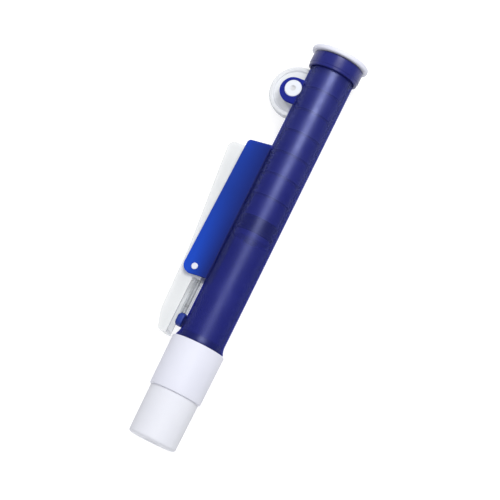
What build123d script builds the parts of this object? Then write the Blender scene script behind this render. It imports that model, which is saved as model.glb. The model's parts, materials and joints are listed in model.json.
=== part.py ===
from build123d import *
from math import acos, cos, pi, radians, sin, sqrt, tan
import os

# Hand pump for pipettes: a thumbwheel drives a toothed plunger in a barrel, and a sprung side lever
# opens an air valve. Everything is modelled upright: Z runs up the barrel from the mouth of the
# chuck, +X points to the wheel and lever side, and the object is symmetric about Y = 0.
# LYING then lays every piece down as it rests on a bench, with the barrel along row +X.

# ---------------------------------------------------------------- driving dimensions (mm)
ROLL = 20.0  # degrees that the lever side dips towards the bench

BARREL_R = 10.4
BORE_R = 9.0
FOOT_Z = 46.2  # where the barrel meets the chuck
BARREL_TOP = 187.0
LIP_R = 11.3  # the barrel flares out to this at its foot
LIP_EDGE = 0.7
FLARE = 4.2

COLLAR_R = 11.9
COLLAR_FOOT = 181.1
COLLAR_TOP = 188.0

WHEEL_X = 11.8
WHEEL_Z = 167.8
WHEEL_R = 12.2
WHEEL_HALF = 2.5
RIM_WIDTH = 2.0
WEB_HALF = 1.6
HUB_R = 6.0
KNURLS = 60
DRIVE = 4.2  # square drive that joins the wheel to its pinions
EAR_R = 5.9
EAR_DROP = 0.7  # the ears hang this much below the wheel's centre
EAR_IN = 4.7
EAR_OUT = 6.8
JOURNAL_R = 3.95
DIMPLE_R = 1.2
RUNNING = 0.05  # radial clearance of every turning fit

MODULE = 0.8
TEETH = 12
PRESSURE = 25.0
BACKLASH = 0.06  # taken off each side's tooth thickness at the pitch line
PINION_IN = 2.6
PINION_OUT = 4.3

STEM_R = 8.2
STEM_TOP = 188.2
SLOT_FOOT = 110.7
SLOT_TOP = 180.7
SLOT_HALF = 2.9
SLOT_X = -2.0
WINDOW_HALF = 5.2
RACK_TEETH = 24
RIB_R = 8.7
RIB_THICK = 0.8
RIB_PITCH = 10.7
FIRST_RIB = 117.5
RIBS = 6
CAP_R = 13.5
CAP_THICK = 2.2
CAP_GAP = 0.3
STUB_R = 4.5  # stub that plugs the cap into the rack
STUB_DEPTH = 4.5

SEAL_FOOT = 100.3
SEAL_TOP = 107.5
SEAL_R = 8.95
RETAINER_FOOT = SEAL_FOOT - 2.2
SCREW_FOOT = RETAINER_FOOT - 1.8
SPINDLE_R = 5.0
FLANGE_R = 8.4
SCREW_R = 1.5
SCREW_HEAD_R = 2.9

CHEEK_IN = 4.3
CHEEK_OUT = 5.5
CHEEK_ROOT = 8.4  # inside the barrel's wall
HOUSING_FOOT = 72.8
HOUSING_FOOT_ROOT = 74.1
HOUSING_TOP = 139.0
HOUSING_TOP_ROOT = 140.3
HOUSING_X_FOOT = 21.7
HOUSING_X_TOP = 20.3
HOUSING_WALL = 1.5

PIVOT_X = 16.3
PIVOT_Z = 76.9
PIN_R = 1.5
LEVER_HALF = 3.9
LEVER_WALL = 1.0
LEVER_WEB = 1.5
SPRING_Z = 115.7
SPRING_R = 2.2
SPRING_WIRE = 0.25
SPRING_TURNS = 7
POST_R = 1.6

PORT_Z = 53.5
PORT_R = 0.8
SEAT_R = 2.4
SEAT_X = 11.2
ROD_X = 13.2
ROD_R = 0.9
SLEEVE_R = 1.8

SHELL_TOP_R = 12.3
SHELL_FOOT_R = 12.05
SHELL_FOOT = 22.6
GRIP_TOP_R = 11.3
GRIP_FOOT_R = 11.05
SOCKET_R = 3.9
SOCKET_DEPTH = 20.0
PASSAGE_R = 1.6
SPIGOT_R = 9.4
SPIGOT_FOOT = 30.0
PLUG_TOP = 49.5
GROOVE_R = 8.2  # groove of the nozzle plug's sealing ring
GROOVE_FOOT = 34.0
GROOVE_TOP = 36.3
RING_R = 0.58
BEAD_R = 10.3  # recess in the shell that the grip's bead snaps into
BEAD_FOOT = 26.4
BEAD_TOP = 29.4
FIT = 0.05  # gap between pieces that are pushed together

# ---------------------------------------------------------------- derived dimensions
PITCH_R = MODULE * TEETH / 2
TIP_R = PITCH_R + MODULE
ROOT_R = PITCH_R - 1.25 * MODULE
BASE_R = PITCH_R * cos(radians(PRESSURE))
TOOTH_PITCH = pi * MODULE
RACK_LINE = WHEEL_X - PITCH_R
RACK_ROOT = RACK_LINE - 1.25 * MODULE
RACK_TIP = RACK_LINE + MODULE
LYING = Plane(
    origin=(0, 0, 0),
    x_dir=(0, cos(radians(ROLL)), -sin(radians(ROLL))),
    z_dir=(1, 0, 0),
).location


def both_sides(inner, outer):
    """Sketch plane and extrusion length of a wall from |y| = inner to |y| = outer, on each side."""
    return [(Plane.XZ.offset(side * inner), side * (outer - inner)) for side in (1, -1)]


def involute_angle(radius):
    """Angle between an involute's start and its point at this radius."""
    roll = acos(BASE_R / radius)
    return tan(roll) - roll


# ---------------------------------------------------------------- barrel and what is fixed to it
with BuildPart() as barrel:
    with BuildSketch(Plane.XZ):
        Polygon(
            (BORE_R, FOOT_Z),
            (LIP_R, FOOT_Z),
            (LIP_R, FOOT_Z + LIP_EDGE),
            (BARREL_R + 0.4, FOOT_Z + 0.45 * FLARE),
            (BARREL_R + 0.12, FOOT_Z + 0.7 * FLARE),
            (BARREL_R, FOOT_Z + FLARE),
            (BARREL_R, BARREL_TOP),
            (BORE_R, BARREL_TOP),
            align=None,
        )
    revolve(axis=Axis.Z)
    # cheeks of the lever housing
    for plane, length in both_sides(CHEEK_IN, CHEEK_OUT):
        with BuildSketch(plane) as cheek:
            with BuildLine():
                Polyline(
                    (CHEEK_ROOT, HOUSING_FOOT_ROOT),
                    (HOUSING_X_FOOT, HOUSING_FOOT),
                    (HOUSING_X_TOP, HOUSING_TOP),
                    (CHEEK_ROOT, HOUSING_TOP_ROOT),
                    close=True,
                )
            make_face()
            fillet(cheek.vertices().sort_by(Axis.X)[-1], 4.0)
            fillet(cheek.vertices().sort_by(Axis.Y)[-2], 1.8)
        extrude(amount=length)
    # wall that closes the housing at its upper end
    with BuildSketch(Plane.XZ):
        with BuildLine():
            Polyline(
                (BORE_R + 0.2, HOUSING_TOP_ROOT - HOUSING_WALL),
                (HOUSING_X_TOP - 1.2, HOUSING_TOP - HOUSING_WALL),
                (HOUSING_X_TOP - 1.2, HOUSING_TOP - 0.05),
                (BORE_R + 0.2, HOUSING_TOP_ROOT - 0.15),
                close=True,
            )
        make_face()
    extrude(amount=CHEEK_IN + 0.4, both=True)
    # ears that carry the wheel's journals
    for plane, length in both_sides(EAR_IN, EAR_OUT):
        with BuildSketch(plane):
            with Locations((WHEEL_X, WHEEL_Z - EAR_DROP)):
                Circle(EAR_R)
            with Locations((WHEEL_X - 1.9, WHEEL_Z - EAR_DROP)):
                Rectangle(3.8, 2 * EAR_R)
        extrude(amount=length)
    # the bore is cleared of the ears' roots
    with BuildSketch(Plane.XY.offset(WHEEL_Z - EAR_R - 1)):
        Circle(BORE_R)
    extrude(amount=2 * EAR_R + 2, mode=Mode.SUBTRACT)
    # slot for the wheel, window for the pinions and bores for the journals
    with BuildSketch(Plane.XZ):
        with Locations((BORE_R, WHEEL_Z)):
            Rectangle(BORE_R, 2 * (WHEEL_R + 0.5))
    extrude(amount=SLOT_HALF + 0.1, both=True, mode=Mode.SUBTRACT)
    with BuildSketch(Plane.XZ):
        with Locations((BORE_R, WHEEL_Z)):
            Rectangle(BORE_R, 2 * (TIP_R + 0.7))
    extrude(amount=EAR_IN, both=True, mode=Mode.SUBTRACT)
    with BuildSketch(Plane.XZ):
        with Locations((WHEEL_X, WHEEL_Z)):
            Circle(JOURNAL_R + RUNNING)
    extrude(amount=EAR_OUT + 1, both=True, mode=Mode.SUBTRACT)
    # valve seat with its port, and the stud that centres the lever spring
    with BuildSketch(Plane.YZ.offset(BORE_R + 0.3)):
        with Locations((0, PORT_Z)):
            Circle(SEAT_R)
    extrude(amount=SEAT_X - BORE_R - 0.3)
    with BuildSketch(Plane.YZ.offset(BORE_R + 0.3)):
        with Locations((0, SPRING_Z)):
            Circle(POST_R)
    extrude(amount=3.0)
    with BuildSketch(Plane.YZ.offset(BORE_R - 1)):
        with Locations((0, PORT_Z)):
            Circle(PORT_R)
    extrude(amount=4.0, mode=Mode.SUBTRACT)
    # holes for the lever's pivot pin
    with BuildSketch(Plane.XZ):
        with Locations((PIVOT_X, PIVOT_Z)):
            Circle(PIN_R)
    extrude(amount=CHEEK_OUT + 1, both=True, mode=Mode.SUBTRACT)
barrel.part.label = "barrel"

with BuildPart() as top_collar:
    with BuildSketch(Plane.XZ):
        Polygon(
            (BARREL_R + FIT, COLLAR_FOOT),
            (COLLAR_R, COLLAR_FOOT),
            (COLLAR_R, COLLAR_TOP),
            (BORE_R, COLLAR_TOP),
            (BORE_R, BARREL_TOP + FIT),
            (BARREL_R + FIT, BARREL_TOP + FIT),
            align=None,
        )
    revolve(axis=Axis.Z)
    outer_edges = top_collar.edges().filter_by(GeomType.CIRCLE).group_by(SortBy.RADIUS)[-1]
    fillet(outer_edges, 0.4)
top_collar.part.label = "top_collar"

with BuildPart() as nozzle_plug:
    with BuildSketch(Plane.XZ):
        Polygon(
            (PASSAGE_R, SPIGOT_FOOT),
            (SPIGOT_R, SPIGOT_FOOT),
            (SPIGOT_R, GROOVE_FOOT),
            (GROOVE_R, GROOVE_FOOT),
            (GROOVE_R, GROOVE_TOP),
            (SPIGOT_R, GROOVE_TOP),
            (SPIGOT_R, FOOT_Z - FIT),
            (BORE_R - FIT, FOOT_Z - FIT),
            (BORE_R - FIT, PLUG_TOP),
            (PASSAGE_R, PLUG_TOP),
            align=None,
        )
    revolve(axis=Axis.Z)
nozzle_plug.part.label = "nozzle_plug"

with BuildPart() as nozzle_ring:
    with BuildSketch(Plane.XZ):
        with Locations((SPIGOT_R - RING_R, (GROOVE_FOOT + GROOVE_TOP) / 2)):
            Circle(RING_R)
    revolve(axis=Axis.Z)
nozzle_ring.part.label = "nozzle_ring"

with BuildPart() as chuck_shell:
    with BuildSketch(Plane.XZ):
        Polygon(
            (SPIGOT_R + FIT, FOOT_Z - 2 * FIT),
            (SHELL_TOP_R, FOOT_Z - 2 * FIT),
            (SHELL_FOOT_R, SHELL_FOOT),
            (SPIGOT_R + FIT, SHELL_FOOT),
            (SPIGOT_R + FIT, BEAD_FOOT),
            (BEAD_R, BEAD_FOOT),
            (BEAD_R, BEAD_TOP),
            (SPIGOT_R + FIT, BEAD_TOP),
            align=None,
        )
    revolve(axis=Axis.Z)
    fillet(chuck_shell.edges().filter_by(GeomType.CIRCLE).group_by(SortBy.RADIUS)[-1], 0.5)
    fillet(chuck_shell.edges().filter_by(GeomType.CIRCLE).group_by(Axis.Z)[0].sort_by(SortBy.RADIUS)[-1], 0.4)
chuck_shell.part.label = "chuck_shell"

with BuildPart() as chuck_grip:
    with BuildSketch(Plane.XZ):
        Polygon(
            (SOCKET_R, 0),
            (GRIP_FOOT_R, 0),
            (GRIP_TOP_R, SHELL_FOOT - FIT),
            (SPIGOT_R, SHELL_FOOT - FIT),
            (SPIGOT_R, BEAD_FOOT + FIT),
            (BEAD_R - FIT, BEAD_FOOT + FIT),
            (BEAD_R - FIT, BEAD_TOP - FIT),
            (SPIGOT_R, BEAD_TOP - FIT),
            (SPIGOT_R, SPIGOT_FOOT - FIT),
            (PASSAGE_R, SPIGOT_FOOT - FIT),
            (PASSAGE_R, SOCKET_DEPTH),
            (SOCKET_R, SOCKET_DEPTH),
            align=None,
        )
    revolve(axis=Axis.Z)
    fillet(chuck_grip.edges().filter_by(GeomType.CIRCLE).group_by(Axis.Z)[0].sort_by(SortBy.RADIUS)[-1], 1.3)
chuck_grip.part.label = "chuck_grip"

with BuildPart() as lever_pin:
    with BuildSketch(Plane.XZ):
        with Locations((PIVOT_X, PIVOT_Z)):
            Circle(PIN_R)
    extrude(amount=CHEEK_OUT + 0.35, both=True)
    chamfer(lever_pin.edges().filter_by(GeomType.CIRCLE), 0.25)
lever_pin.part.label = "lever_pin"

# ---------------------------------------------------------------- plunger
with BuildPart() as plunger_rack:
    with BuildSketch(Plane.XZ):
        Polygon(
            (0, SEAL_FOOT + FIT),
            (SPINDLE_R, SEAL_FOOT + FIT),
            (SPINDLE_R, SEAL_TOP + FIT),
            (FLANGE_R, SEAL_TOP + FIT),
            (FLANGE_R, SEAL_TOP + 1.2),
            (STEM_R, SEAL_TOP + 1.2),
            (STEM_R, STEM_TOP),
            (0, STEM_TOP),
            align=None,
        )
    revolve(axis=Axis.Z)
    for rib in range(RIBS):
        with BuildSketch(Plane.XY.offset(FIRST_RIB + rib * RIB_PITCH - RIB_THICK / 2)):
            Circle(RIB_R)
        extrude(amount=RIB_THICK)
    # flat floor of the racks, and the deep slot that lets the wheel in between them
    with BuildSketch(Plane.XZ):
        with Locations((RACK_ROOT, (SLOT_FOOT + SLOT_TOP) / 2)):
            Rectangle(BORE_R, SLOT_TOP - SLOT_FOOT, align=(Align.MIN, Align.CENTER))
    extrude(amount=WINDOW_HALF, both=True, mode=Mode.SUBTRACT)
    with BuildSketch(Plane.XZ):
        with Locations((SLOT_X, (SLOT_FOOT + SLOT_TOP) / 2)):
            Rectangle(2 * BORE_R, SLOT_TOP - SLOT_FOOT, align=(Align.MIN, Align.CENTER))
    extrude(amount=SLOT_HALF, both=True, mode=Mode.SUBTRACT)
    # straight-flanked rack teeth; a gap faces the pinion's tooth at the contact point
    flank = tan(radians(PRESSURE))
    half_tooth = TOOTH_PITCH / 4 - BACKLASH / 2
    rack_low = WHEEL_Z - (RACK_TEETH / 2 + 7.5) * TOOTH_PITCH
    for plane, length in both_sides(SLOT_HALF, PINION_OUT):
        for tooth in range(RACK_TEETH):
            centre = rack_low + tooth * TOOTH_PITCH
            with BuildSketch(plane):
                with BuildLine():
                    Polyline(
                        (RACK_ROOT - 0.3, centre - half_tooth - (1.25 * MODULE + 0.3) * flank),
                        (RACK_TIP, centre - half_tooth + MODULE * flank),
                        (RACK_TIP, centre + half_tooth - MODULE * flank),
                        (RACK_ROOT - 0.3, centre + half_tooth + (1.25 * MODULE + 0.3) * flank),
                        close=True,
                    )
                make_face()
            extrude(amount=length)
    # socket for the cap's stub and pilot hole for the piston screw
    with BuildSketch(Plane.XY.offset(STEM_TOP)):
        Circle(STUB_R + FIT)
    extrude(amount=-STUB_DEPTH - 0.5, mode=Mode.SUBTRACT)
    with BuildSketch(Plane.XY.offset(SEAL_FOOT + FIT)):
        Circle(SCREW_R + FIT)
    extrude(amount=7.0, mode=Mode.SUBTRACT)
plunger_rack.part.label = "plunger_rack"

with BuildPart() as plunger_cap:
    with BuildSketch(Plane.XZ):
        Polygon(
            (0, STEM_TOP - STUB_DEPTH),
            (STUB_R, STEM_TOP - STUB_DEPTH),
            (STUB_R, COLLAR_TOP + CAP_GAP),
            (CAP_R, COLLAR_TOP + CAP_GAP),
            (CAP_R, COLLAR_TOP + CAP_GAP + CAP_THICK),
            (0, COLLAR_TOP + CAP_GAP + CAP_THICK),
            align=None,
        )
    revolve(axis=Axis.Z)
    rim = plunger_cap.edges().filter_by(GeomType.CIRCLE).group_by(SortBy.RADIUS)[-1]
    fillet(rim, 0.8)
plunger_cap.part.label = "plunger_cap"

with BuildPart() as piston_seal:
    with BuildSketch(Plane.XZ):
        Polygon(
            (SPINDLE_R + FIT, SEAL_FOOT),
            (SEAL_R - 0.5, SEAL_FOOT),
            (SEAL_R, SEAL_FOOT + 0.8),
            (SEAL_R, SEAL_FOOT + 1.8),
            (SEAL_R - 1.2, SEAL_FOOT + 2.8),
            (SEAL_R - 1.2, SEAL_TOP - 2.8),
            (SEAL_R, SEAL_TOP - 1.8),
            (SEAL_R, SEAL_TOP - 0.8),
            (SEAL_R - 0.5, SEAL_TOP),
            (SPINDLE_R + FIT, SEAL_TOP),
            align=None,
        )
    revolve(axis=Axis.Z)
piston_seal.part.label = "piston_seal"

with BuildPart() as piston_retainer:
    with BuildSketch(Plane.XZ):
        Polygon(
            (SCREW_R + FIT, RETAINER_FOOT),
            (STEM_R, RETAINER_FOOT),
            (STEM_R, SEAL_FOOT - FIT),
            (SCREW_R + FIT, SEAL_FOOT - FIT),
            align=None,
        )
    revolve(axis=Axis.Z)
piston_retainer.part.label = "piston_retainer"

with BuildPart() as piston_screw:
    with BuildSketch(Plane.XZ):
        Polygon(
            (0, SCREW_FOOT),
            (SCREW_HEAD_R, SCREW_FOOT),
            (SCREW_HEAD_R, RETAINER_FOOT - FIT),
            (SCREW_R, RETAINER_FOOT - FIT),
            (SCREW_R, SEAL_FOOT + 6.5),
            (0, SEAL_FOOT + 6.5),
            align=None,
        )
    revolve(axis=Axis.Z)
    with BuildSketch(Plane.XY.offset(SCREW_FOOT)):
        Rectangle(4.6, 0.7)
        Rectangle(0.7, 4.6)
    extrude(amount=0.9, mode=Mode.SUBTRACT)
piston_screw.part.label = "piston_screw"

# ---------------------------------------------------------------- thumbwheel and its two pinions
with BuildPart() as thumbwheel:
    with BuildSketch(Plane.XZ):
        with Locations((WHEEL_X, WHEEL_Z)):
            Circle(WHEEL_R)
            Circle(WHEEL_R - RIM_WIDTH, mode=Mode.SUBTRACT)
    extrude(amount=WHEEL_HALF, both=True)
    chamfer(thumbwheel.edges().filter_by(GeomType.CIRCLE).group_by(SortBy.RADIUS)[-1], 0.5)
    with BuildSketch(Plane.XZ):
        with Locations((WHEEL_X, WHEEL_Z)):
            Circle(WHEEL_R - RIM_WIDTH)
    extrude(amount=WEB_HALF, both=True)
    with BuildSketch(Plane.XZ):
        with Locations((WHEEL_X, WHEEL_Z)):
            Circle(HUB_R)
    extrude(amount=WHEEL_HALF, both=True)
    with BuildSketch(Plane.XZ):
        with Locations((WHEEL_X, WHEEL_Z)):
            Rectangle(DRIVE, DRIVE)
            with PolarLocations(WHEEL_R + 0.15, KNURLS):
                Circle(0.45)
    extrude(amount=WHEEL_HALF, both=True, mode=Mode.SUBTRACT)
thumbwheel.part.label = "thumbwheel"

# One pinion tooth, centred on the sketch's x axis: two involute flanks on the root circle.
half_angle = pi / (2 * TEETH) - BACKLASH / (2 * PITCH_R) + involute_angle(PITCH_R)
flank_radii = [BASE_R + (TIP_R - BASE_R) * step / 5 for step in range(6)]
upper_flank = []
for radius in flank_radii:
    angle = half_angle - involute_angle(radius)
    upper_flank.append((radius * cos(angle), radius * sin(angle)))
lower_flank = [(x, -y) for x, y in upper_flank]
root_upper = ((ROOT_R - 0.2) * cos(half_angle), (ROOT_R - 0.2) * sin(half_angle))
root_lower = (root_upper[0], -root_upper[1])
with BuildSketch() as tooth_shape:
    with BuildLine():
        Spline(upper_flank)
        ThreePointArc(upper_flank[-1], (TIP_R, 0), lower_flank[-1])
        Spline(lower_flank[::-1])
        Line(lower_flank[0], root_lower)
        Line(root_lower, root_upper)
        Line(root_upper, upper_flank[0])
    make_face()


def pinion(side):
    """Half shaft on one side of the wheel: square drive, pinion and the journal that turns in the ear."""
    with BuildPart() as half_shaft:
        with BuildSketch(Plane.XZ.offset(side * 0.1)):
            with Locations((WHEEL_X, WHEEL_Z)):
                Rectangle(DRIVE - 2 * FIT, DRIVE - 2 * FIT)
        extrude(amount=side * (PINION_IN - 0.1))
        with BuildSketch(Plane.XZ.offset(side * PINION_IN)):
            with Locations((WHEEL_X, WHEEL_Z)):
                Circle(ROOT_R)
                with PolarLocations(0, TEETH):
                    add(tooth_shape.sketch)
        extrude(amount=side * (PINION_OUT - PINION_IN))
        with BuildSketch(Plane.XZ.offset(side * PINION_OUT)):
            with Locations((WHEEL_X, WHEEL_Z)):
                Circle(JOURNAL_R)
        extrude(amount=side * (EAR_OUT + 0.15 - PINION_OUT))
        chamfer(half_shaft.edges().sort_by(Axis.Y)[0 if side > 0 else -1], 0.3)
        # centre mark left by the turning of the end face
        with BuildSketch(Plane.XZ.offset(side * (EAR_OUT + 0.15))):
            with Locations((WHEEL_X, WHEEL_Z)):
                Circle(DIMPLE_R)
        extrude(amount=-side * 0.5, mode=Mode.SUBTRACT)
    return half_shaft


pinion_near = pinion(-1)
pinion_near.part.label = "pinion_near"
pinion_far = pinion(1)
pinion_far.part.label = "pinion_far"

# ---------------------------------------------------------------- lever and valve
LEVER_FOOT = 45.4
LEVER_TOP = 136.0
BEND_X = 23.3
BEND_Z = 83.7
KNEE_X = 22.2
KNEE_Z = 54.0
TIP_X = 28.8
FLANGE_X = 15.4  # inner edge of the lower arm's walls
CARRIER_X = 11.7
CARRIER_FOOT = 72.4
CARRIER_TOP = 81.7

with BuildPart() as lever:
    with BuildSketch(Plane.XZ) as outline:
        with BuildLine():
            Polyline(
                (FLANGE_X, LEVER_FOOT),
                (19.4, LEVER_FOOT),
                (KNEE_X, KNEE_Z),
                (BEND_X, BEND_Z),
                (TIP_X, LEVER_TOP),
                (18.6, LEVER_TOP),
                (CARRIER_X, CARRIER_TOP),
                (CARRIER_X, CARRIER_FOOT),
                (FLANGE_X, CARRIER_FOOT),
                close=True,
            )
        make_face()
        corners = outline.vertices()
        fillet(corners.sort_by(Axis.X)[-1], 3.0)
        fillet(outline.vertices().sort_by_distance((19.4, LEVER_FOOT))[0], 2.2)
        fillet(outline.vertices().sort_by_distance((KNEE_X, KNEE_Z))[0], 14.0)
        fillet(outline.vertices().sort_by_distance((BEND_X, BEND_Z))[0], 60.0)
    extrude(amount=LEVER_HALF, both=True)
    # channel between the two side walls, open towards the barrel
    with BuildSketch(Plane.XZ) as channel:
        with BuildLine():
            Polyline(
                (CARRIER_X - 1, LEVER_FOOT + LEVER_WEB),
                (18.6, LEVER_FOOT + LEVER_WEB),
                (KNEE_X - LEVER_WEB, KNEE_Z),
                (BEND_X - LEVER_WEB, BEND_Z),
                (TIP_X - LEVER_WEB - 0.2, LEVER_TOP - LEVER_WEB),
                (CARRIER_X - 1, LEVER_TOP - LEVER_WEB),
                close=True,
            )
        make_face()
        fillet(channel.vertices().sort_by_distance((BEND_X - LEVER_WEB, BEND_Z))[0], 60.0)
    extrude(amount=LEVER_HALF - LEVER_WALL, both=True, mode=Mode.SUBTRACT)
    # block between the walls that carries the pivot and the valve rod
    with BuildSketch(Plane.XZ):
        with BuildLine():
            Polyline(
                (CARRIER_X, CARRIER_FOOT),
                (20.0, CARRIER_FOOT),
                (20.0, CARRIER_TOP - 2),
                (CARRIER_X, CARRIER_TOP - 2),
                close=True,
            )
        make_face()
    extrude(amount=LEVER_HALF - LEVER_WALL, both=True)
    # stud that holds the outer end of the spring
    with BuildSketch(Plane.YZ.offset(23.4)):
        with Locations((0, SPRING_Z)):
            Circle(POST_R)
    extrude(amount=2.2)
    with BuildSketch(Plane.XZ):
        with Locations((PIVOT_X, PIVOT_Z)):
            Circle(PIN_R + RUNNING)
    extrude(amount=LEVER_HALF + 1, both=True, mode=Mode.SUBTRACT)
    with BuildSketch(Plane.XY.offset(CARRIER_FOOT)):
        with Locations((ROD_X, 0)):
            Circle(ROD_R)
    extrude(amount=3.7, mode=Mode.SUBTRACT)
lever.part.label = "lever"

with BuildPart() as valve_rod:
    with BuildSketch(Plane.XY.offset(PORT_Z - 1.5)):
        with Locations((ROD_X, 0)):
            Circle(ROD_R)
    extrude(amount=CARRIER_FOOT + 3.6 - PORT_Z + 1.5)
valve_rod.part.label = "valve_rod"

with BuildPart() as valve_sleeve:
    with BuildSketch(Plane.XY.offset(PORT_Z + 3.15)):
        with Locations((ROD_X, 0)):
            Circle(SLEEVE_R)
            Circle(ROD_R + FIT, mode=Mode.SUBTRACT)
    extrude(amount=CARRIER_FOOT - FIT - PORT_Z - 3.15)
valve_sleeve.part.label = "valve_sleeve"

with BuildPart() as valve_plug:
    with BuildSketch(Plane.YZ.offset(SEAT_X + FIT)):
        with Locations((0, PORT_Z)):
            RectangleRounded(5.2, 6.2, 2.3)
    extrude(amount=3.35)
    fillet(valve_plug.faces().sort_by(Axis.X)[-1].edges(), 1.5)
    fillet(valve_plug.faces().sort_by(Axis.X)[0].edges(), 0.5)
    with BuildSketch(Plane.XY.offset(PORT_Z - 1.5)):
        with Locations((ROD_X, 0)):
            Circle(ROD_R)
    extrude(amount=6.0, mode=Mode.SUBTRACT)
valve_plug.part.label = "valve_plug"

with BuildPart() as lever_spring:
    coil_foot = BARREL_R + 2 * SPRING_WIRE
    coil_length = 24.5 - coil_foot
    with BuildLine():
        coil = Helix(
            pitch=coil_length / SPRING_TURNS,
            height=coil_length,
            radius=SPRING_R,
            center=(coil_foot, 0, SPRING_Z),
            direction=(1, 0, 0),
        )
    with BuildSketch(Plane(origin=coil @ 0, z_dir=coil % 0)):
        Circle(SPRING_WIRE)
    sweep(is_frenet=True)
lever_spring.part.label = "lever_spring"

# ---------------------------------------------------------------- every piece laid down and written
os.makedirs("parts", exist_ok=True)
PIECES = [
    barrel,
    top_collar,
    nozzle_plug,
    nozzle_ring,
    chuck_shell,
    chuck_grip,
    lever_pin,
    lever_spring,
    plunger_rack,
    plunger_cap,
    piston_seal,
    piston_retainer,
    piston_screw,
    thumbwheel,
    pinion_near,
    pinion_far,
    lever,
    valve_rod,
    valve_sleeve,
    valve_plug,
]
for piece in PIECES:
    piece.part.move(LYING)
    export_step(piece.part, f"parts/{piece.part.label}.step")
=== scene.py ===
import json
import math

import bmesh
import bpy
from mathutils import Matrix, Vector


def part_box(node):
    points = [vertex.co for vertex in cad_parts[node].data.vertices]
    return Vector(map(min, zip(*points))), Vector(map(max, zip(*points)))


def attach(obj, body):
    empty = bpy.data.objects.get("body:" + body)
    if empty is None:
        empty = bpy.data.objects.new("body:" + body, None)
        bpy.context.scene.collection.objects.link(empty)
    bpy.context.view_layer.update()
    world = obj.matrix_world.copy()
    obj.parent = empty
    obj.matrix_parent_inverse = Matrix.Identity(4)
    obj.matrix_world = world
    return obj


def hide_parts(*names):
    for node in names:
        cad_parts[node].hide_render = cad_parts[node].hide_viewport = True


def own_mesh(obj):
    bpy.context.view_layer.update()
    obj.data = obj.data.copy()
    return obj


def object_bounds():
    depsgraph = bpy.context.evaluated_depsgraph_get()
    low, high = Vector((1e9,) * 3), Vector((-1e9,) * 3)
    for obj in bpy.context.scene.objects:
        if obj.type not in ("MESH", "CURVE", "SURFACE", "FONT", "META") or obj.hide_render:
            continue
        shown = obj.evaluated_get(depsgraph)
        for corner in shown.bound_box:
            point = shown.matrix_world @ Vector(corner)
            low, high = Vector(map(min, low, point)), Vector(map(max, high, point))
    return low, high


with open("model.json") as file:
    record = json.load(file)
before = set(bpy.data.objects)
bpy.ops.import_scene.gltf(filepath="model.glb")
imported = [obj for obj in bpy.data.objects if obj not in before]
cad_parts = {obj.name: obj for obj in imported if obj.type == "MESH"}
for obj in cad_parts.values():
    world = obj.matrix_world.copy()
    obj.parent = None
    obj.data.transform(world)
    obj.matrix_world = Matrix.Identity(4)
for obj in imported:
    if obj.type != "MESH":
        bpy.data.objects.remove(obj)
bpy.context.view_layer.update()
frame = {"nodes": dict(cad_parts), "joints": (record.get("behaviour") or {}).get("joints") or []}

# ---------------------------------------------------------------- the frame's own directions
# Pieces are drawn upright, in millimetres: Z up the barrel, +X to the lever side, Y across.
# UPRIGHT turns that into the row frame, where the pump lies down.
JOINTS = {joint["name"]: joint for joint in frame["joints"]}
ALONG = Vector(JOINTS["plunger_slide"]["axis"])
ACROSS = Vector(JOINTS["wheel_spin"]["axis"])
SIDE = ACROSS.cross(ALONG)
UPRIGHT = Matrix((SIDE, ACROSS, ALONG)).transposed().to_4x4()
MM = 0.001
NODES = frame["nodes"]
# lowest of the plunger's ribs, and the step from one to the next
FIRST_RIB = 117.5
RIB_PITCH = 10.7


def upright_mm(point):
    """A row-frame point in metres as an upright point in millimetres."""
    return UPRIGHT.transposed() @ Vector(point) / MM


WHEEL = upright_mm(JOINTS["wheel_spin"]["pos_m"])
PIVOT = upright_mm(JOINTS["lever_press"]["pos_m"])


def span(node):
    """(lowest, highest) height along the barrel and the radius of a turned node, in millimetres."""
    low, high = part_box(node)
    return low.x / MM, high.x / MM, high.y / MM


# ---------------------------------------------------------------- materials
def new_material(name):
    material = bpy.data.materials.new(name)
    material.use_nodes = True
    tree = material.node_tree
    tree.nodes.clear()
    out = tree.nodes.new("ShaderNodeOutputMaterial")
    return material, tree, out


def noise(tree, coordinates, scale, detail=4.0, roughness=0.55):
    """Noise in the piece's own coordinates; scale is cells per metre."""
    node = tree.nodes.new("ShaderNodeTexNoise")
    node.inputs["Scale"].default_value = scale
    node.inputs["Detail"].default_value = detail
    node.inputs["Roughness"].default_value = roughness
    tree.links.new(coordinates, node.inputs["Vector"])
    return node.outputs["Fac"]


def remap(tree, value, low, high, to_low, to_high):
    node = tree.nodes.new("ShaderNodeMapRange")
    node.inputs["From Min"].default_value = low
    node.inputs["From Max"].default_value = high
    node.inputs["To Min"].default_value = to_low
    node.inputs["To Max"].default_value = to_high
    tree.links.new(value, node.inputs["Value"])
    return node.outputs["Result"]


def times(tree, first, second):
    node = tree.nodes.new("ShaderNodeMath")
    node.operation = "MULTIPLY"
    tree.links.new(first, node.inputs[0])
    tree.links.new(second, node.inputs[1])
    return node.outputs[0]


def blend_colour(tree, share, first, second):
    """Colour from first to second as share goes 0 to 1; each is a tuple or another socket."""
    node = tree.nodes.new("ShaderNodeMix")
    node.data_type = "RGBA"
    tree.links.new(share, node.inputs["Factor"])
    for colour, socket in ((first, node.inputs[6]), (second, node.inputs[7])):
        if isinstance(colour, tuple):
            socket.default_value = (*colour, 1)
        else:
            tree.links.new(colour, socket)
    return node.outputs[2]


def bump(tree, height, strength, distance, below=None):
    node = tree.nodes.new("ShaderNodeBump")
    node.inputs["Strength"].default_value = strength
    node.inputs["Distance"].default_value = distance
    tree.links.new(height, node.inputs["Height"])
    if below is not None:
        tree.links.new(below, node.inputs["Normal"])
    return node.outputs["Normal"]


def object_coordinates(tree):
    return tree.nodes.new("ShaderNodeTexCoord").outputs["Object"]


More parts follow.
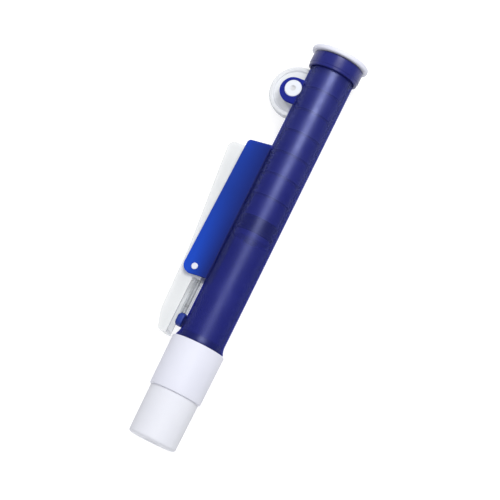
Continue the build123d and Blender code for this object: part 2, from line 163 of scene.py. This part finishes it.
def split(tree, vector):
    """The X, Y and Z outputs of a vector socket."""
    parts = tree.nodes.new("ShaderNodeSeparateXYZ")
    tree.links.new(vector, parts.inputs[0])
    return parts.outputs


def vector_length(tree, vector):
    node = tree.nodes.new("ShaderNodeVectorMath")
    node.operation = "LENGTH"
    tree.links.new(vector, node.inputs[0])
    return node.outputs["Value"]


def drawn_out(tree, where, factor):
    """Coordinates squeezed along the barrel, so that noise in them becomes long streaks."""
    stretch = tree.nodes.new("ShaderNodeMapping")
    stretch.inputs["Scale"].default_value = (factor, 1, 1)
    tree.links.new(where, stretch.inputs["Vector"])
    return stretch.outputs[0]


def mix_shaders(tree, share, first, second):
    """Shader from first to second as share, a number or a socket, goes 0 to 1."""
    mix = tree.nodes.new("ShaderNodeMixShader")
    if isinstance(share, float):
        mix.inputs["Fac"].default_value = share
    else:
        tree.links.new(share, mix.inputs["Fac"])
    tree.links.new(first, mix.inputs[1])
    tree.links.new(second, mix.inputs[2])
    return mix.outputs[0]


def moulded(name, colour, shade, rough, grain=2500, relief=0.000015, **principled):
    """Moulded plastic or rubber: slow colour drift, fine surface grain and uneven gloss."""
    material, tree, out = new_material(name)
    where = object_coordinates(tree)
    shader = tree.nodes.new("ShaderNodeBsdfPrincipled")
    drift = noise(tree, where, 60, 3)
    tint = remap(tree, drift, 0.3, 0.7, 0, 1)
    tree.links.new(blend_colour(tree, tint, shade, colour), shader.inputs["Base Color"])
    fine = noise(tree, where, grain, 3)
    smear = noise(tree, where, 140, 4)
    tree.links.new(remap(tree, smear, 0.3, 0.7, rough - 0.06, rough + 0.08), shader.inputs["Roughness"])
    tree.links.new(bump(tree, fine, 0.35, relief), shader.inputs["Normal"])
    for socket, value in principled.items():
        shader.inputs[socket.replace("_", " ")].default_value = value
    tree.links.new(shader.outputs[0], out.inputs["Surface"])
    return material


def see_through(material, tint, share):
    """Lets part of the light straight through the material, coloured by tint."""
    tree = material.node_tree
    out = next(n for n in tree.nodes if n.type == "OUTPUT_MATERIAL")
    solid = out.inputs["Surface"].links[0].from_socket
    clear = tree.nodes.new("ShaderNodeBsdfTransparent")
    clear.inputs["Color"].default_value = (*tint, 1)
    tree.links.new(mix_shaders(tree, share, solid, clear.outputs[0]), out.inputs["Surface"])
    return material


def barrel_material():
    """Blue translucent moulding: deep over the tube, royal blue on the housing's thin cheeks, with
    painted light and shade in the cheeks' blue.

    Radii from the barrel's axis and distances along it are in metres.
    """
    material, tree, out = new_material("barrel_translucent_blue")
    where = object_coordinates(tree)
    parts = split(tree, where)
    along = parts["X"]
    flat = tree.nodes.new("ShaderNodeCombineXYZ")
    tree.links.new(parts["Y"], flat.inputs["Y"])
    tree.links.new(parts["Z"], flat.inputs["Z"])
    radius = vector_length(tree, flat.outputs[0])
    # the cheeks and ears stand outside the tube, above its flared foot
    past_tube = remap(tree, radius, 0.0106, 0.0110, 0, 1)
    above_foot = remap(tree, along, 0.060, 0.062, 0, 1)
    outside = times(tree, past_tube, above_foot)
    ears = remap(tree, along, 0.150, 0.152, 0, 1)
    # painted light and shade in the cheeks' blue: darker where they meet the tube, brighter outward and
    # brightest near the pivot, where light comes through the thin walls
    outward = remap(tree, radius, 0.0115, 0.0195, 0, 1)
    painted_light_near_pivot = remap(tree, along, PIVOT.z * MM, 0.115, 1, 0)
    drift = remap(tree, noise(tree, where, 45, 4), 0.3, 0.7, 0, 1)
    tube = blend_colour(tree, drift, (0.011, 0.015, 0.150), (0.015, 0.020, 0.190))
    painted_lit_royal = blend_colour(tree, painted_light_near_pivot, (0.015, 0.052, 0.36), (0.017, 0.083, 0.60))
    cheek = blend_colour(tree, outward, (0.013, 0.028, 0.20), painted_lit_royal)
    cheek = blend_colour(tree, ears, cheek, (0.014, 0.022, 0.26))
    shader = tree.nodes.new("ShaderNodeBsdfPrincipled")
    tree.links.new(blend_colour(tree, outside, tube, cheek), shader.inputs["Base Color"])
    shader.inputs["Roughness"].default_value = 0.7
    shader.inputs["Specular IOR Level"].default_value = 0.0
    # fine mould texture, with the long soft flow marks of the filling
    flow = noise(tree, drawn_out(tree, where, 0.12), 420, 3)
    grain = noise(tree, where, 2600, 3)
    relief = bump(tree, grain, 0.2, 0.00002, bump(tree, flow, 0.25, 0.00005))
    tree.links.new(relief, shader.inputs["Normal"])
    clear = tree.nodes.new("ShaderNodeBsdfTransparent")
    tint = blend_colour(tree, outside, (0.93, 0.93, 0.98), (0.09, 0.27, 0.90))
    tree.links.new(tint, clear.inputs["Color"])
    clearness = remap(tree, outside, 0, 1, 0.62, 0.3)
    wall = mix_shaders(tree, clearness, shader.outputs[0], clear.outputs[0])
    # skin: a satin outside with a painted highlight, its sheen set to rise towards the wheel's end, and
    # a dull bore
    skin = tree.nodes.new("ShaderNodeBsdfGlossy")
    skin.inputs["Color"].default_value = (0.56, 0.62, 1.0, 1)
    smear = noise(tree, where, 120, 5)
    tree.links.new(remap(tree, smear, 0.3, 0.7, 0.34, 0.46), skin.inputs["Roughness"])
    tree.links.new(relief, skin.inputs["Normal"])
    painted_sheen = remap(tree, along, 0.085, 0.165, 0.037, 0.058)
    painted_sheen = times(tree, painted_sheen, remap(tree, radius, 0.0094, 0.0100, 0.1, 1.0))
    painted_sheen = times(tree, painted_sheen, remap(tree, outside, 0, 1, 1.0, 0.3))
    tree.links.new(mix_shaders(tree, painted_sheen, wall, skin.outputs[0]), out.inputs["Surface"])
    # the dyed wall swallows more light the longer the way through it
    dye = tree.nodes.new("ShaderNodeVolumeAbsorption")
    dye.inputs["Color"].default_value = (0.045, 0.095, 0.79, 1)
    dye.inputs["Density"].default_value = 900
    tree.links.new(dye.outputs[0], out.inputs["Volume"])
    return material


def marked(material, mark, colour):
    """Lays a second colour over a moulded material wherever mark(tree, where) is 1."""
    tree = material.node_tree
    shader = next(n for n in tree.nodes if n.type == "BSDF_PRINCIPLED")
    base = shader.inputs["Base Color"].links[0].from_socket
    where = next(n for n in tree.nodes if n.type == "TEX_COORD").outputs["Object"]
    tree.links.new(blend_colour(tree, mark(tree, where), base, colour), shader.inputs["Base Color"])
    return material


def painted_rib_shade(tree, where):
    """Painted shade: a darker line along the edge of each of the plunger's ribs."""
    along = split(tree, where)["X"]
    rib = remap(tree, along, FIRST_RIB * MM, (FIRST_RIB + RIB_PITCH) * MM, 0.5, 1.5)
    rib.node.clamp = False
    step = tree.nodes.new("ShaderNodeMath")
    step.operation = "PINGPONG"
    step.inputs[1].default_value = 0.5
    tree.links.new(rib, step.inputs[0])
    return remap(tree, step.outputs[0], 0.455, 0.475, 0, 1)


def rod_dark_band(tree, where):
    """Dark band painted round the valve rod."""
    along = split(tree, where)["X"]
    above_foot = remap(tree, along, 0.0592, 0.0595, 0, 1)
    below_top = remap(tree, along, 0.0606, 0.0609, 1, 0)
    return times(tree, above_foot, below_top)


def hub_dimple_shade(tree, where):
    """Painted shade: a small grey spot in the dimple at the middle of each hub."""
    from_centre = tree.nodes.new("ShaderNodeVectorMath")
    from_centre.operation = "SUBTRACT"
    from_centre.inputs[1].default_value = UPRIGHT @ (WHEEL * MM)
    tree.links.new(where, from_centre.inputs[0])
    arm = tree.nodes.new("ShaderNodeVectorMath")
    arm.operation = "CROSS_PRODUCT"
    arm.inputs[1].default_value = ACROSS
    tree.links.new(from_centre.outputs[0], arm.inputs[0])
    return remap(tree, vector_length(tree, arm.outputs[0]), 0.0009, 0.0016, 1, 0)


def metal_material(name, colour, rough, lines):
    """Drawn steel: fine scratches along the barrel's direction."""
    material, tree, out = new_material(name)
    where = object_coordinates(tree)
    scratch = noise(tree, drawn_out(tree, where, 0.04), lines, 4)
    shader = tree.nodes.new("ShaderNodeBsdfPrincipled")
    shader.inputs["Metallic"].default_value = 1.0
    dark = tuple(0.7 * c for c in colour)
    tree.links.new(blend_colour(tree, scratch, dark, colour), shader.inputs["Base Color"])
    tree.links.new(remap(tree, scratch, 0.3, 0.7, rough, rough + 0.15), shader.inputs["Roughness"])
    tree.links.new(bump(tree, scratch, 0.3, 0.00001), shader.inputs["Normal"])
    tree.links.new(shader.outputs[0], out.inputs["Surface"])
    return material


BARREL = barrel_material()
# each moulded material: name, colour, the shade it drifts from, roughness
COLLAR = moulded(
    "collar_blue",
    (0.016, 0.020, 0.165),
    (0.012, 0.015, 0.13),
    0.30,
    Specular_IOR_Level=0.28,
)
WHITE = moulded(
    "white_plastic",
    (0.66, 0.67, 0.755),
    (0.635, 0.645, 0.735),
    0.42,
    Specular_IOR_Level=0.2,
)
SOFT_WHITE = moulded(
    "soft_white_silicone",
    (0.68, 0.69, 0.745),
    (0.655, 0.665, 0.73),
    0.62,
    grain=1800,
    relief=0.00003,
    Specular_IOR_Level=0.2,
)
BLACK = moulded(
    "greased_black_rubber",
    (0.010, 0.010, 0.013),
    (0.018, 0.018, 0.022),
    0.35,
    grain=1500,
    relief=0.00003,
)
PLUG_BLUE = moulded(
    "blue_silicone",
    (0.009, 0.030, 0.26),
    (0.007, 0.024, 0.21),
    0.45,
    grain=1600,
    relief=0.00003,
)
# the rack's darker rib lines are painted shade
RACK = marked(
    moulded("white_rack", (0.70, 0.71, 0.78), (0.67, 0.68, 0.76), 0.42),
    painted_rib_shade,
    (0.20, 0.20, 0.27),
)
# the grey spot in each hub's middle is painted shade
HUB = marked(
    moulded("white_hub", (0.68, 0.71, 0.76), (0.65, 0.68, 0.74), 0.42),
    hub_dimple_shade,
    (0.55, 0.56, 0.58),
)
NATURAL = see_through(
    moulded("natural_polypropylene", (0.84, 0.855, 0.865), (0.79, 0.805, 0.82), 0.38),
    (0.975, 0.98, 0.98),
    0.38,
)
WHEEL_NATURAL = see_through(
    moulded("natural_wheel", (0.78, 0.80, 0.82), (0.73, 0.75, 0.78), 0.35),
    (0.96, 0.965, 0.975),
    0.4,
)
CLEAR = see_through(
    moulded("clear_tube", (0.62, 0.64, 0.66), (0.55, 0.57, 0.60), 0.18),
    (0.93, 0.94, 0.95),
    0.72,
)
STEEL_COLOUR = (0.45, 0.46, 0.48)
STEEL = metal_material("drawn_steel", STEEL_COLOUR, 0.28, 3000)
ROD = marked(
    metal_material("valve_rod_steel", STEEL_COLOUR, 0.28, 3000),
    rod_dark_band,
    (0.03, 0.03, 0.03),
)


# ---------------------------------------------------------------- mesh helpers
def rounded(corners, steps=6):
    """Outline through (x, y, radius) corners, each rounded by an arc of its radius."""
    outline = []
    count = len(corners)
    for index, (x, y, radius) in enumerate(corners):
        here = Vector((x, y))
        before = Vector(corners[index - 1][:2])
        after = Vector(corners[(index + 1) % count][:2])
        if radius <= 0:
            outline.append(here)
            continue
        to_before = (before - here).normalized()
        to_after = (after - here).normalized()
        half = to_before.angle(to_after) / 2
        reach = radius / math.tan(half)
        centre = here + (to_before + to_after).normalized() * radius / math.sin(half)
        start = here + to_before * reach - centre
        end = here + to_after * reach - centre
        turn = start.angle_signed(end)
        for step in range(steps + 1):
            point = start.copy()
            point.rotate(Matrix.Rotation(-turn * step / steps, 2))
            outline.append(centre + point)
    return outline


def turned(outline, steps=128, wave=None):
    """Mesh of a closed (radius, height) outline turned about Z; wave(angle, r) may change the radius."""
    mesh = bmesh.new()
    rings = []
    for point in outline:
        if point.x < 1e-6:
            rings.append([mesh.verts.new((0, 0, point.y))])
            continue
        ring = []
        for step in range(steps):
            angle = 2 * math.pi * step / steps
            r = wave(angle, point) if wave else point.x
            ring.append(mesh.verts.new((r * math.cos(angle), r * math.sin(angle), point.y)))
        rings.append(ring)
    for first, second in zip(rings, rings[1:] + rings[:1]):
        if len(first) == 1 and len(second) == 1:
            continue
        for step in range(steps):
            following = (step + 1) % steps
            corners = [first[step % len(first)], second[step % len(second)]]
            if len(second) > 1:
                corners.append(second[following])
            if len(first) > 1:
                corners.append(first[following])
            mesh.faces.new(corners)
    bmesh.ops.recalc_face_normals(mesh, faces=mesh.faces)
    return mesh


def add_piece(name, mesh, material, body, nodes, place=Matrix.Identity(4), sharp=35):
    """A finished piece from an upright bmesh in millimetres. It rides on body and stands for nodes."""
    data = bpy.data.meshes.new(name)
    mesh.transform(UPRIGHT @ Matrix.Scale(MM, 4) @ place)
    bmesh.ops.recalc_face_normals(mesh, faces=mesh.faces)
    limit = math.radians(sharp)
    for edge in mesh.edges:
        edge.smooth = len(edge.link_faces) == 2 and edge.calc_face_angle(0) < limit
    for face in mesh.faces:
        face.smooth = True
    mesh.to_mesh(data)
    mesh.free()
    data.materials.append(material)
    piece = bpy.data.objects.new(name, data)
    bpy.context.scene.collection.objects.link(piece)
    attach(piece, body)
    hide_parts(*nodes)
    return piece


def dress(node, material, bevel=0.0, segments=2):
    """Gives a carried-over CAD node its material and soft moulded edges."""
    piece = NODES[node]
    piece.data.materials.clear()
    piece.data.materials.append(material)
    if bevel:
        weld = piece.modifiers.new("join", "WELD")
        weld.merge_threshold = 2e-6
        soften = piece.modifiers.new("soft_edges", "BEVEL")
        soften.width = bevel * MM
        soften.segments = segments
        soften.limit_method = "ANGLE"
        soften.angle_limit = math.radians(40)
        soften.use_clamp_overlap = True
        soften.harden_normals = False


# ---------------------------------------------------------------- barrel side
dress("barrel", BARREL, 0.15)
dress("nozzle_plug", COLLAR)
dress("nozzle_ring", BLACK)
dress("lever_pin", WHITE, 0.12)

TAPER = 0.25
low, high, radius = span("top_collar")
BORE = 9.0
COLLAR_BORE = 10.45
COLLAR_LID = 0.95
collar = turned(
    rounded(
        [
            (COLLAR_BORE, low, 0.15),
            (radius - TAPER, low, 0.35),
            (radius - TAPER, low + 1.2, 0.2),
            (radius, low + 1.6, 0.3),
            (radius, high, 0.5),
            (BORE, high, 0.3),
            (BORE, high - COLLAR_LID, 0),
            (COLLAR_BORE, high - COLLAR_LID, 0),
        ]
    )
)
add_piece("top_collar_ring", collar, COLLAR, "barrel", ["top_collar"])

low, high, radius = span("chuck_shell")
SHELL_BORE = 9.45
RECESS_R, RECESS_FOOT, RECESS_TOP = 10.3, 3.8, 6.8
shell = turned(
    rounded(
        [
            (SHELL_BORE, high, 0.3),
            (radius, high, 0.6),
            (radius - TAPER, low, 0.6),
            (SHELL_BORE, low, 0),
            (SHELL_BORE, low + RECESS_FOOT, 0),
            (RECESS_R, low + RECESS_FOOT, 0),
            (RECESS_R, low + RECESS_TOP, 0),
            (SHELL_BORE, low + RECESS_TOP, 0),
        ]
    )
)
add_piece("chuck_sleeve", shell, WHITE, "barrel", ["chuck_shell"])

low, high, radius = span("chuck_grip")
SOCKET_R, SOCKET_DEPTH = 3.9, 20.0
AIR_R = 1.6
SHOULDER = 22.55
NECK_R = 9.4
BEAD_R, BEAD_FOOT, BEAD_TOP = 10.25, 26.45, 29.35
grip = turned(
    rounded(
        [
            (SOCKET_R, low, 0.5),
            (radius - TAPER, low, 1.3),
            (radius, SHOULDER, 0),
            (NECK_R, SHOULDER, 0),
            (NECK_R, BEAD_FOOT, 0),
            (BEAD_R, BEAD_FOOT, 0.2),
            (BEAD_R, BEAD_TOP, 0.2),
            (NECK_R, BEAD_TOP, 0),
            (NECK_R, high, 0.2),
            (AIR_R, high, 0.1),
            (AIR_R, SOCKET_DEPTH, 0.1),
            (SOCKET_R, SOCKET_DEPTH, 0.4),
        ]
    )
)
add_piece("chuck_soft_grip", grip, SOFT_WHITE, "barrel", ["chuck_grip"])

# ---------------------------------------------------------------- plunger
dress("plunger_rack", RACK)
dress("piston_retainer", WHITE)
dress("piston_screw", STEEL)

low, high, radius = span("plunger_cap")
STUB_R = 4.5
DISC_THICKNESS = 2.2
DISH_R, DISH_DEPTH = 9.6, 0.45
disc_foot = high - DISC_THICKNESS
cap = turned(
    rounded(
        [
            (0, low, 0),
            (STUB_R, low, 0.3),
            (STUB_R, disc_foot, 0.2),
            (radius, disc_foot, 0.7),
            (radius, high, 0.9),
            (DISH_R, high, 0.5),
            (DISH_R - 0.6, high - DISH_DEPTH, 0.5),
            (0, high - DISH_DEPTH, 0),
        ]
    )
)
add_piece("plunger_disc", cap, WHITE, "plunger", ["plunger_cap"])

low, high, radius = span("piston_seal")
SEAL_BORE = 5.05
LIP_RAKE = 0.7
LIP, WAIST, WAIST_DEPTH = 1.3, 2.8, 1.2
seal = turned(
    rounded(
        [
            (SEAL_BORE, low, 0.1),
            (radius - LIP_RAKE, low, 0.3),
            (radius, low + LIP, 0.5),
            (radius - WAIST_DEPTH, low + WAIST, 0.5),
            (radius - WAIST_DEPTH, high - WAIST, 0.5),
            (radius, high - LIP, 0.5),
            (radius - LIP_RAKE, high, 0.3),
            (SEAL_BORE, high, 0.1),
        ]
    )
)
add_piece("piston_lip_seal", seal, BLACK, "plunger", ["piston_seal"])

# ---------------------------------------------------------------- thumbwheel
low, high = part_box("thumbwheel")
wheel_radius = (high.x - low.x) / 2 / MM
KNURLS = 60
KNURL_BAND, KNURL_DEPTH = 0.75, 0.42


def knurl(angle, point):
    """Rounded ridges on the outermost band of the wheel."""
    if point.x < wheel_radius - KNURL_BAND:
        return point.x
    ridge = abs(math.cos(KNURLS * angle / 2)) ** 0.6
    depth = KNURL_DEPTH * (point.x - wheel_radius + KNURL_BAND) / KNURL_BAND
    return point.x - depth * (1 - ridge)


RIM, WEB = 2.5, 1.6
BOSS_R, BOSS_FOOT_R = 6.0, 6.3
STUB_BORE = 2.12
side_profile = [
    (wheel_radius, -RIM, 0.7),
    (wheel_radius, RIM, 0.7),
    (wheel_radius - 2.0, RIM, 0.4),
    (wheel_radius - 2.4, WEB, 0.4),
    (BOSS_FOOT_R, WEB, 0.4),
    (BOSS_R, RIM, 0.3),
    (STUB_BORE, RIM, 0),
    (STUB_BORE, -RIM, 0),
    (BOSS_R, -RIM, 0.3),
    (BOSS_FOOT_R, -WEB, 0.4),
    (wheel_radius - 2.4, -WEB, 0.4),
    (wheel_radius - 2.0, -RIM, 0.4),
]
wheel = turned(rounded(side_profile), steps=KNURLS * 8, wave=knurl)
STAND = Matrix.Translation(WHEEL) @ Matrix.Rotation(math.pi / 2, 4, "X")
add_piece(
    "thumbwheel_disc",
    wheel,
    WHEEL_NATURAL,
    "wheel",
    ["thumbwheel"],
    STAND,
)
dress("pinion_near", HUB, 0.08)
dress("pinion_far", HUB, 0.08)

# ---------------------------------------------------------------- lever and valve
dress("lever", NATURAL, 0.25, 3)
dress("valve_rod", ROD)
dress("valve_sleeve", CLEAR)
dress("valve_plug", PLUG_BLUE, 0.2, 3)


def coil_mesh(start, end, radius, wire, turns, around=10, per_turn=28):
    """Spring along +X from start to end at radius about its axis, with a dead turn at each end."""
    mesh = bmesh.new()
    total = turns * per_turn
    rings = []
    dead = 0.8 / turns
    for step in range(total + 1):
        share = step / total
        angle = 2 * math.pi * turns * share
        rise = min(max((share - dead) / (1 - 2 * dead), 0), 1)
        foot = 2 * wire * min(share / dead, 1)
        top = 2 * wire * max((share - 1 + dead) / dead, 0)
        x = start + foot * 0.5 + (end - start - 2 * wire) * rise + top * 0.5
        centre = Vector((x, radius * math.cos(angle), radius * math.sin(angle)))
        outward = Vector((0, math.cos(angle), math.sin(angle)))
        ring = []
        for corner in range(around):
            spin = 2 * math.pi * corner / around
            offset = outward * math.cos(spin) * wire + Vector((math.sin(spin) * wire, 0, 0))
            ring.append(mesh.verts.new(centre + offset))
        rings.append(ring)
    for first, second in zip(rings, rings[1:]):
        for corner in range(around):
            following = (corner + 1) % around
            mesh.faces.new((first[corner], first[following], second[following], second[corner]))
    mesh.faces.new(rings[0])
    mesh.faces.new(rings[-1][::-1])
    return mesh


SPRING_HEIGHT = 115.7
SPRING_FOOT, SPRING_END = 10.75, 24.75
SPRING_R, SPRING_WIRE, SPRING_TURNS = 2.2, 0.25, 7
coil = coil_mesh(SPRING_FOOT, SPRING_END, SPRING_R, SPRING_WIRE, SPRING_TURNS)
lift = Matrix.Translation((0, 0, SPRING_HEIGHT))
spring = add_piece(
    "return_spring",
    coil,
    STEEL,
    "barrel",
    ["lever_spring"],
    lift,
    sharp=80,
)
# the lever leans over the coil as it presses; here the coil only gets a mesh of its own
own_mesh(spring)

# ---------------------------------------------------------------- floor, light and camera
low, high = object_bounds()
centre = (low + high) / 2
FLOOR_HALF = 3.0
floor_data = bpy.data.meshes.new("floor")
corners = [
    (-FLOOR_HALF, -FLOOR_HALF),
    (FLOOR_HALF, -FLOOR_HALF),
    (FLOOR_HALF, FLOOR_HALF),
    (-FLOOR_HALF, FLOOR_HALF),
]
floor_data.from_pydata([(x, y, low.z) for x, y in corners], [], [(0, 1, 2, 3)])
floor = bpy.data.objects.new("floor", floor_data)
bpy.context.scene.collection.objects.link(floor)
floor_material, tree, out = new_material("floor_white")
paper = tree.nodes.new("ShaderNodeBsdfPrincipled")
paper.inputs["Base Color"].default_value = (0.38, 0.38, 0.38, 1)
paper.inputs["Roughness"].default_value = 0.9
paper.inputs["Specular IOR Level"].default_value = 0.0
paper.inputs["Emission Color"].default_value = (1, 1, 1, 1)
paper.inputs["Emission Strength"].default_value = 0.75
tree.links.new(paper.outputs[0], out.inputs["Surface"])
floor_data.materials.append(floor_material)

world = bpy.data.worlds.new("studio")
world.use_nodes = True
world.node_tree.nodes["Background"].inputs["Color"].default_value = (1, 1, 1, 1)
world.node_tree.nodes["Background"].inputs["Strength"].default_value = 0.31
bpy.context.scene.world = world


def softbox(name, place, aim, width, length, watts):
    """Rectangular lamp at place, facing aim; length and width are its own X and Y sizes."""
    data = bpy.data.lights.new(name, "AREA")
    data.shape = "RECTANGLE"
    data.size = length
    data.size_y = width
    data.energy = watts
    lamp = bpy.data.objects.new(name, data)
    lamp.location = place
    lamp.rotation_euler = (Vector(aim) - Vector(place)).to_track_quat("-Z", "Y").to_euler()
    bpy.context.scene.collection.objects.link(lamp)


# one long box over the barrel, one at its wheel end for the highlight, one at the chuck's end
softbox("overhead", (centre.x, 0.0, 0.9), (centre.x, 0, 0), 0.42, 1.3, 5.6)
softbox("overhead_top_end", (0.75, 0.0, 0.80), (0.16, 0, 0), 0.35, 0.42, 6.5)
softbox("chuck_end", (-0.6, 0.0, 0.32), (0, 0, 0), 0.5, 0.5, 1.0)

# the camera looks down, ten degrees off the vertical, with the barrel leaning across the picture
LEAN = math.radians(26.03)
camera_data = bpy.data.cameras.new("camera")
camera_data.lens = 132
camera_data.sensor_width = 36
camera_data.clip_start = 0.05
camera = bpy.data.objects.new("camera", camera_data)
bpy.context.scene.collection.objects.link(camera)
eye = Vector((-0.0429, 0.00057, 0.793))
aim = Vector((0.0941, -0.00143, 0.0))
back = (eye - aim).normalized()
picture_up = Vector((math.cos(LEAN), math.sin(LEAN), 0))
right = picture_up.cross(back).normalized()
true_up = back.cross(right)
camera.matrix_world = Matrix.Translation(eye) @ Matrix((right, true_up, back)).transposed().to_4x4()
bpy.context.scene.camera = camera
bpy.context.scene.view_settings.view_transform = "Standard"
